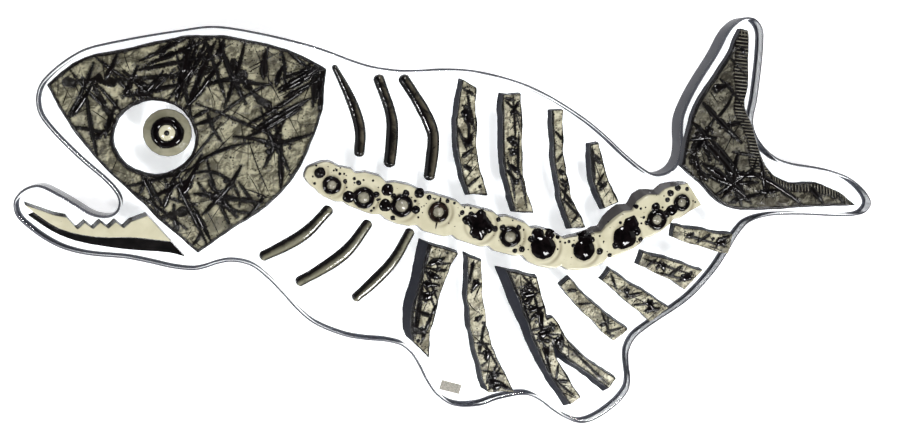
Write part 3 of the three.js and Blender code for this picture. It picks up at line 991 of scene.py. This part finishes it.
def strew(ground, heap, rng, count, lengths, widths, ways, bend, ends, rise):
    """Strokes of one family, strewn over a piece. Returns how many found a place."""
    laid = 0
    for _ in range(count * 12):
        if laid == count:
            break
        start = ground.spot(rng)
        length = rng.uniform(*lengths) * MM
        width = rng.uniform(*widths) * MM
        angle = rng.choice(ways) + rng.uniform(-14, 14)
        steps = max(5, round(length / STEP))
        line = curve_line(start, angle, length, rng.uniform(-bend, bend), steps)
        mark = 0.9 if width > 1.1 * MM else 0
        laid += lay(ground, heap, line, width, ends, rise, max(5, steps * 0.3), mark)
    return laid


def burst(ground, heap, rng, centre, count, lengths, widths):
    """Strokes that shoot out from one place, with beads of glass around it."""
    for arm in range(count):
        angle = 360 * arm / count + rng.uniform(-16, 16)
        width = rng.uniform(*widths) * MM
        line = curve_line(centre, angle, rng.uniform(*lengths) * MM, rng.uniform(-25, 25), 16)
        lay(ground, heap, line, width, (0, 0.85), 0.5, 6, margin=0)
    for _ in range(18):
        spot = centre + Vector((rng.gauss(0, 4), rng.gauss(0, 4))) * MM
        size = rng.uniform(0.7, 1.9) * MM
        if ground.holds(spot, size + 0.5 * MM):
            heap.blob(ground, spot, size, size * 0.7, 0.15, rng.random() * 50, steps=14)


def bundles(ground, heap, rng, count, lengths, widths, ways, spread):
    """Long strokes that fell together, nearly side by side and partly one on another."""
    for _ in range(count):
        start = ground.spot(rng)
        angle = rng.choice(ways) + rng.uniform(-10, 10)
        for _ in range(rng.choice((3, 4, 5))):
            length = rng.uniform(*lengths) * MM
            offset = Vector((rng.gauss(0, spread), rng.gauss(0, spread))) * MM
            line = curve_line(start + offset, angle + rng.gauss(0, 5), length, rng.uniform(-14, 14), 34)
            lay(ground, heap, line, rng.uniform(*widths) * MM, (0.3, 0.4), 0.45, 8)


def sprinkle(ground, heap, rng, count, sizes, margin, rise, ragged, mark=False):
    """Small drops scattered over a piece, with or without soot around them."""
    for _ in range(count):
        spot = ground.spot(rng)
        size = rng.uniform(*sizes) * MM
        if ground.holds(spot, size + margin * MM):
            heap.blob(ground, spot, size, size * rise, ragged, rng.random() * 50, steps=12)
            if mark:
                ground.marks.append((spot, size))


def veils(ground, rng, count, lengths, widths, ways):
    """Broad smoky bands: places that will be darkened, with no glass laid on them."""
    for _ in range(count):
        start = ground.spot(rng)
        width = rng.uniform(*widths) * MM
        angle = rng.choice(ways) + rng.uniform(-12, 12)
        line = curve_line(start, angle, rng.uniform(*lengths) * MM, rng.uniform(-30, 30), 26)
        ground.marks += [(at, width * (0.3 + 0.7 * i / 26)) for i, at in enumerate(line)]


# %% [markdown]
# ## Soot
# Soot darkens the glass along every stroke, and the glass is darkened round the outline in
# the same way. Each stroke has left marks, and every point of the mesh takes its darkening
# from the mark nearest to it: a dark core and a wide faint skirt.

# %% Soot along strokes and rims
# how far the darkest soot reaches, and how the outline is marked
SOOT_CORE = 0.5 * MM
RIM_STEP, RIM_WIDTH = 0.8 * MM, 0.7 * MM


def paint_soot(ground, reach, deepest=1.0):
    """Darken a piece's points near its marks."""
    mesh = ground.piece.data
    layer = mesh.attributes.new("soot", "FLOAT", "POINT")
    tree = KDTree(len(ground.marks))
    for i, (at, _) in enumerate(ground.marks):
        tree.insert((at.x, at.y, 0), i)
    tree.balance()
    values = []
    for vertex in mesh.vertices:
        _, i, gap = tree.find((vertex.co.x, vertex.co.y, 0))
        beyond = max(0.0, gap - ground.marks[i][1] * 0.55)
        core = math.exp(-((beyond / SOOT_CORE) ** 2))
        skirt = math.exp(-((beyond / reach) ** 2))
        values.append(deepest * (0.35 * core + 0.65 * skirt))
    layer.data.foreach_set("value", values)


def mark_rim(ground, node):
    """Mark the outline of the top, so that the glass darkens along it as along a stroke."""
    for loop in loops_at(node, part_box(node)[1][2]):
        for a, b in zip(loop, loop[1:] + loop[:1]):
            steps = max(1, round((b - a).length / RIM_STEP))
            ground.marks += [(a.lerp(b, step / steps), RIM_WIDTH) for step in range(steps)]


# %% Strokes on the head
HEAD_FAMILIES = [
    # count, lengths, widths, ways, bend, ends, rise
    (12, (34, 84), (1.6, 3.0), (62, 24, 100, -62), 16, (0.3, 0.4), 0.5),
    (15, (16, 36), (3.2, 6.4), (58, -70, 30, 84), 30, (0.25, 0.9), 0.26),
    (40, (20, 72), (0.9, 1.7), (58, 22, -64, 108, -28), 26, (0.35, 0.35), 0.7),
    (40, (8, 30), (0.5, 0.9), (20, 60, 95, -40, -75), 40, (0.3, 0.5), 0.7),
    (8, (34, 60), (1.0, 2.0), (90, 140, 30), 130, (0.4, 0.4), 0.5),
]
# start, way, length, bend and width of each broad smear of soot
SMEARS = [((-268, 102), 5, 94, 10, 8), ((-251, 99), -62, 34, 18, 6), ((-163, 114), -52, 42, 25, 7)]
# where strokes shoot out from one place, as shares of the head's box
BURSTS = [(0.34, 0.74), (0.66, 0.8), (0.8, 0.5), (0.6, 0.26)]
head_ground = Ground(head)
head_strokes = Laid()
dice = random.Random(7)
on_head = (head_ground, head_strokes, dice)
mark_rim(head_ground, "head")
veils(head_ground, dice, 5, (24, 60), (3, 7), (8, 60, -65))
for start, angle, length, bend, width in SMEARS:
    smear = curve_line(Vector(start) * MM, angle, length * MM, bend, 60)
    widths = [width * MM * (0.6 + 0.4 * math.sin(i / 7)) for i in range(len(smear))]
    head_ground.marks += list(zip(smear, widths))
bundles(*on_head, 6, (34, 72), (1.3, 2.8), (60, 36, -66, 84), 3.2)
head_size = head_ground.high - head_ground.low
for share in BURSTS:
    middle = Vector([head_ground.low[k] + head_size[k] * share[k] for k in (0, 1)])
    burst(*on_head, middle, 6, (12, 30), (2.0, 3.4))
for family in HEAD_FAMILIES:
    print("strokes on the head:", strew(*on_head, *family))
sprinkle(*on_head, 30, (0.5, 1.3), 1.0, 0.6, 0.1)
paint_soot(head_ground, 2.8 * MM)
head_strokes.piece("head_strokes", BLACK, "black_glass")

# %% Strokes on the slabs
# a slab with so many points in its mesh gets each family's whole count
WHOLE_COUNT = 10500
# count, lengths, widths, which of the slab's ways, bend, ends, rise
SLAB_FAMILIES = [
    (2, (22, 46), (1.7, 2.8), (1, 2, 3), 12, (0.15, 0.2), 0.45),
    (3, (12, 24), (5.0, 8.5), (1, 2, 3), 16, (0.1, 0.9), 0.22),
    (4, (26, 64), (0.9, 1.5), (0, 1, 2), 12, (0.2, 0.3), 0.6),
    (2, (8, 20), (0.6, 0.9), (0, 1, 2, 3), 50, (0.3, 0.4), 0.7),
]
slab_strokes = Laid()
for node, slab in zip(SLABS, slabs):
    ground = Ground(slab)
    reach = ground.high.xy - ground.low.xy
    along = 90 if "upper" in node else math.degrees(math.atan2(-reach.y, reach.x))
    ways = (along + 8, along - 38, along + 52, along + 90)
    if node not in UPRIGHT:
        mark_rim(ground, node)
    size = len(slab.data.vertices) / WHOLE_COUNT
    for count, lengths, widths, chosen, *rest in SLAB_FAMILIES:
        count = max(1, round(count * size))
        strew(ground, slab_strokes, dice, count, lengths, widths, [ways[i] for i in chosen], *rest)
    sprinkle(ground, slab_strokes, dice, 8, (0.6, 1.8), 0.8, 0.5, 0.25, mark=True)
    paint_soot(ground, 1.4 * MM, 0.9)
slab_strokes.piece("slab_strokes", BLACK, "black_glass")
print("faces in the slabs' strokes:", len(slab_strokes.faces))

# %% [markdown]
# ## Combed tail
# Along both trailing edges the tail is combed: short pale ridges a few millimetres apart
# run in from the edge like fin rays, with dark grooves between them. They follow the
# tail's own outline, between the tips of its two lobes.

# %% Tail strokes
TAIL_FAMILIES = [
    (9, (34, 64), (2.6, 5.0), (-48, -36, -60, 20), 26, (0.25, 0.4), 0.3),
    (7, (14, 30), (3.6, 7.0), (10, -60, 120), 26, (0.2, 0.9), 0.24),
    (14, (14, 40), (0.8, 1.6), (0, -45, 60, 110), 40, (0.3, 0.3), 0.7),
    (20, (6, 20), (0.45, 0.9), (0, 40, 90, 135), 60, (0.3, 0.4), 0.7),
]
# where, how many arms, lengths, widths
TAIL_BURSTS = [((190, 28), 9, (12, 30), (2.2, 4.2)), ((167, 62), 6, (8, 20), (2.4, 4.6))]
tail_ground = Ground(tail)
tail_strokes = Laid()
on_tail = (tail_ground, tail_strokes, dice)
mark_rim(tail_ground, "tail")
veils(tail_ground, dice, 3, (20, 50), (4, 7), (-40, 75, 5))
for place, *arms in TAIL_BURSTS:
    burst(*on_tail, Vector(place) * MM, *arms)
for family in TAIL_FAMILIES:
    strew(*on_tail, *family)

# %% Comb
COMB_PITCH, COMB_WIDTH, COMB_HEIGHT, GROOVE = 2.5 * MM, 1.15 * MM, 0.5 * MM, 0.7 * MM
COMB_INSET = 1.2 * MM
# the ridges run in across the upper lobe and down across the lower one, which is slimmer
INWARD, DOWNWARD = (Vector((-1, 0.1)), 1.1), (Vector((0.1, -1)), 0.6)
edge = left_turning(loops_at("tail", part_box("tail")[0][2] + COMB_INSET)[0])
low_tip = max(range(len(edge)), key=lambda i: edge[i].x)
high_tip = max(range(len(edge)), key=lambda i: edge[i].y + edge[i].x * 0.2)
trailing = edge[low_tip:] + edge[:low_tip]
trailing = trailing[: (high_tip - low_tip) % len(edge) + 1]
walked = 0.0
teeth = 0
comb = Laid()
for a, b in zip(trailing, trailing[1:]):
    span = (b - a).length
    onward = (b - a) / span
    while walked < span:
        at = a + onward * walked
        way, share = INWARD if abs(onward.y) > abs(onward.x) else DOWNWARD
        reach = (8.5 + 7 * noise.noise(Vector((at.x * 40, at.y * 40, 2)))) * share * MM
        line = [at + way * (COMB_INSET + reach * k / 6) for k in range(7)]
        line = longest_run(tail_ground, line, 0.5 * MM)
        if len(line) > 3:
            widths = [COMB_WIDTH * (1 - 0.3 * k / (len(line) - 1)) for k in range(len(line))]
            comb.stroke(tail_ground, line, widths, COMB_HEIGHT)
            tail_ground.marks += [(at + onward * COMB_PITCH / 2, GROOVE) for at in line]
            teeth += 1
        walked += COMB_PITCH
    walked -= span
paint_soot(tail_ground, 2.3 * MM)
tail_strokes.piece("tail_strokes", BLACK, "black_glass")
comb.piece("tail_comb", RIDGE, "olive_glass")
print("comb ridges:", teeth)

# %% [markdown]
# ## Vertebrae
# Each vertebra is a drop of black glass on the cream spine, and most keep an open middle
# filled by a khaki bead. Molten drops have uneven rims, so a noise pushes the rim in and
# out. Two drops near the tail run up over the slanted side of the spine.

# %% Vertebrae, beads and splashes
DROP_HEIGHT, RING_HEIGHT, BEAD_HEIGHT = 1.9 * MM, 1.7 * MM, 1.5 * MM


def shade_mounds(ground):
    """Painted shadow: a crescent on the cream at the lower right of each vertebra, where its mound meets
    the next, and a ring of painted shade where the vertebra sits.
    """
    places = places_of(ground.piece.data)
    layer = ground.piece.data.attributes.new("soot", "FLOAT", "POINT")
    shade = np.zeros(len(places))
    for node in VERTEBRAE:
        centre, radius = centre_of(node), radius_of(node)
        right, up = places[:, 0] - centre.x, places[:, 1] - centre.y
        gap = np.hypot(right, up)
        lower_right = np.clip((right * 0.9 - up * 0.45) / np.maximum(gap, MM), 0, 1) ** 1.5
        crescent = np.exp(-(((gap - radius * 1.4) / (1.3 * MM)) ** 2)) * lower_right * 0.8
        contact = np.exp(-(((gap - radius) / (1.0 * MM)) ** 2)) * 0.5
        shade = np.maximum(shade, np.maximum(crescent, contact))
    layer.data.foreach_set("value", shade)


spine_ground = Ground(spine)
drops, beads, brown = Laid(), Laid(), Laid()
# beside which vertebra: how far right and up, and the radius, in millimetres
SPLASHES = {
    2: [(11.3, -8.2, 4.4), (5.5, 7.5, 1.2)],
    3: [(16.4, 5.0, 4.6), (14.6, -5.6, 4.5), (8.5, 2.0, 2.4), (6.5, 11.5, 1.0)],
    4: [(9.8, -3.0, 3.0), (12.4, 8.6, 3.8), (3.0, 8.4, 2.6), (-5.4, 6.4, 2.2)],
    6: [(7.5, -1.8, 4.0), (12.0, -2.6, 2.4), (-8.0, 4.0, 3.4), (2.0, 7.6, 3.6), (-5.0, 8.0, 2.2)],
    7: [(8.6, -9.0, 2.4), (-5.5, 6.6, 2.4), (6.0, 6.4, 2.0)],
    8: [(-4.0, 9.6, 5.0), (4.6, 9.0, 4.0), (-9.0, 6.0, 2.6), (10.5, 7.0, 1.8)],
    9: [(0.5, 9.0, 5.2), (11.7, -1.2, 2.7), (-8.0, 3.5, 1.6), (6.0, 7.5, 2.2)],
    10: [(9.0, 4.0, 3.4), (-6.5, -5.5, 3.0), (4.0, 9.0, 5.4), (12.0, -2.0, 2.0)],
    11: [(-1.0, 9.0, 3.6), (11.0, 6.6, 4.2), (7.2, 3.8, 3.0), (-7.5, -2.0, 2.0)],
    12: [(-8.5, 7.0, 2.6), (-3.0, 10.5, 2.4), (-6.0, -4.5, 2.2)],
}
# the radius of the open middle of each ring
RINGS = {2: 3.0, 3: 3.7, 4: 4.1, 5: 3.5, 7: 3.7, 11: 3.1, 12: 2.9}
for i, node in enumerate(VERTEBRAE, start=1):
    centre, radius = centre_of(node), radius_of(node)
    hole = RINGS.get(i, 0) * MM
    heap = brown if i == 5 else drops
    rag = 0.08 if hole else 0.5 if i == 6 else 0.12
    height = RING_HEIGHT if hole else DROP_HEIGHT
    heap.blob(spine_ground, centre, radius, height, rag, i * 3.7, hole, steps=56)
    for right, up, size in SPLASHES.get(i, ()):
        beside = centre + Vector((right, up)) * MM
        if spine_ground.height(beside) is not None:
            high = min(1.5, 0.5 * size) * MM
            heap.blob(spine_ground, beside, size * MM, high, 0.16, i * 1.3 + right)
            spine_ground.marks.append((beside, size * 1.5 * MM))
    if hole:
        beads.blob(spine_ground, centre, hole * 1.06, BEAD_HEIGHT, 0.06, i * 5.1, steps=32)
    spine_ground.marks.append((centre, radius * 1.6))

# %% Drips, sprinkled drops and the crack
# two drops near the tail run on: which way in degrees, how far and how wide
DRIPS = {9: (80, 15.0, 9.5), 10: (66, 17.0, 10.5)}
for i, (angle, length, width) in DRIPS.items():
    line = curve_line(centre_of(VERTEBRAE[i - 1]), angle, length * MM, 14, 12)
    line = [at for at in line if spine_ground.height(at) is not None]
    drops.stroke(spine_ground, line, taper(len(line), width * MM, 0, 0.25), HIGHEST)

SPRINKLED = 460
for _ in range(SPRINKLED):
    near = centre_of(dice.choice(VERTEBRAE))
    spot = near + Vector((dice.gauss(0, 10), dice.gauss(3, 6))) * MM
    size = min(1.9, 0.35 + dice.expovariate(1.8)) * MM
    clear = all((spot - at).length > reach / 1.6 * 1.05 + size for at, reach in spine_ground.marks)
    if clear and spine_ground.holds(spot, size + 0.5 * MM, spine_ground.high.z - 4.5 * MM):
        drops.blob(spine_ground, spot, size, size * 0.55, 0.18, dice.random() * 60, steps=16)
        if size > 0.9 * MM:
            spine_ground.marks.append((spot, size * 1.6))
CRACK_WAY = Vector((0.16, 1))
crack = [centre_of("vertebra_5") + CRACK_WAY * (step * MM) for step in range(-12, 13)]
crack = [at for at in crack if spine_ground.height(at) is not None]
brown.stroke(spine_ground, crack, taper(len(crack), 1.5 * MM, 0.1, 0.1), 0.6 * MM)
shade_mounds(spine_ground)
black_nodes = [node for i, node in enumerate(VERTEBRAE, start=1) if i != 5]
drops.piece("vertebra_drops", BLACK_DROP, "black_glass", *black_nodes)
brown.piece("brown_vertebra", BROWN, "brown_glass", "vertebra_5")
beads.piece("vertebra_beads", KHAKI, "cream_glass")
print("faces in the drops:", len(drops.faces))

# %% [markdown]
# ## Eye
# The iris is a plain disc that stands on the clear sheet inside the head's round hole. A
# black ring lies on it with a pale bead in its middle, and a dark dot on the bead.

# %% Eye ring, pupil and dot
def single_drop(name, node, ground, finish, slot, radius, height, ragged, seed, **more):
    """One drop in the place of one node."""
    drop = Laid()
    drop.blob(ground, centre_of(node), radius, height, ragged, seed, **more)
    return drop.piece(name, finish, slot, node)


iris_ground = Ground(iris)
black_ring = ("eye_black_ring", "eye_ring", iris_ground, BLACK_DROP, "black_glass")
single_drop(*black_ring, radius_of("eye_ring") * 1.06, RING_HEIGHT, 0.07, 4.2, hole=5.0 * MM, steps=64)
pale_pupil = ("eye_pale_pupil", "eye_pupil", iris_ground, PUPIL, "cream_glass")
pupil = single_drop(*pale_pupil, 5.5 * MM, BEAD_HEIGHT, 0.04, 8.8, steps=48)
dark_dot = ("eye_dark_dot", "eye_dot", Ground(pupil), BLACK_DROP, "black_glass")
single_drop(*dark_dot, 1.9 * MM, 0.8 * MM, 0.1, 2.2, steps=24)
print("eye ring across:", round(radius_of("eye_ring") * 2 / MM, 1), "mm")

# %% [markdown]
# ## Label
# A small bare slip of paper is stuck low on the belly. The solid is already right, so it
# only needs its finish.

# %% Label finish
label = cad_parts["label"]
label.data.materials.clear()
label.data.materials.append(PAPER)

# %% [markdown]
# ## Table and light
# The piece lies on a white table that glows a little, as a light table does, so shadows
# stay pale. A soft key lamp and three small hard ones stand high: their bright images are
# the glints on black glass. Four broad dim lamps stand lower round the table and light
# the sides. The room is nearly dark, and darkest overhead: flat glass would mirror a
# bright ceiling and turn milky.

# %% Table
TABLE_GLOW = 0.74


def white_table():
    finish = Finish("white_table")
    tone = finish.noise(400, 2, 0.4).rise(0.3, 0.7)
    white = finish.blend(tone, (0.84, 0.84, 0.85), (0.86, 0.86, 0.86))
    finish.surface(Base_Color=white, Roughness=0.9, Emission_Color=white, Emission_Strength=TABLE_GLOW)
    return finish.material


TABLE_HALF = 5.0
TABLE_DROP = 0.6 * MM
corners = [(x * TABLE_HALF, y * TABLE_HALF, -TABLE_DROP) for x, y in ((-1, -1), (1, -1), (1, 1), (-1, 1))]
table_mesh = bpy.data.meshes.new("table")
table_mesh.from_pydata(corners, [], [(0, 1, 2, 3)])
table_mesh.materials.append(white_table())
new_object("table", table_mesh)

# %% Lamps
# name, place in metres, side in metres, radiance
LAMPS = [
    ("key", (0.85, -1.05, 1.3), 0.4, 40.0),
    ("left", (-1.5, -0.3, 0.85), 1.3, 0.6),
    ("back", (0.1, 1.5, 0.85), 1.3, 0.45),
    ("right", (1.65, 0.5, 0.8), 1.3, 0.55),
    ("front", (-0.6, -1.5, 0.85), 1.3, 0.65),
    ("glint", (0.42, -0.72, 1.15), 0.16, 86.0),
    ("glint_left", (-0.85, -0.4, 1.0), 0.16, 80.0),
    ("glint_back", (0.15, 0.75, 1.15), 0.16, 74.0),
]
for name, place, side, radiance in LAMPS:
    data = bpy.data.lights.new(name, "AREA")
    data.size = side
    data.energy = radiance * math.pi * side * side
    lamp = new_object(name, data)
    # a lamp shines along its own -Z, so +Z is turned away from the piece
    lamp.rotation_euler = Vector(place).to_track_quat("Z", "Y").to_euler()
    lamp.location = place

# %% The dim room
class Room(Finish):
    """The light that comes from all round, built from nodes as a finish is."""

    def __init__(self, name):
        self.world = bpy.data.worlds.new(name)
        self.world.use_nodes = True
        self.tree = self.world.node_tree
        self.tree.nodes.clear()
        self.end = self.tree.nodes.new("ShaderNodeOutputWorld")
        self.place = self.node("ShaderNodeTexCoord", {}, {}, "Generated")


room = Room("room")
limits = {"Value": room.along("Z"), "From Min": 0.45, "From Max": 0.7, "To Min": 0.08, "To Max": 0.01}
fade = room.node("ShaderNodeMapRange", {"interpolation_type": "SMOOTHSTEP"}, limits)
glow = room.node("ShaderNodeBackground", {}, {"Color": (0.93, 0.96, 1.0), "Strength": fade})
room.tree.links.new(glow.socket, room.end.inputs["Surface"])
bpy.context.scene.world = room.world
bpy.context.scene.view_settings.view_transform = "Standard"
bpy.context.scene.view_settings.look = "None"
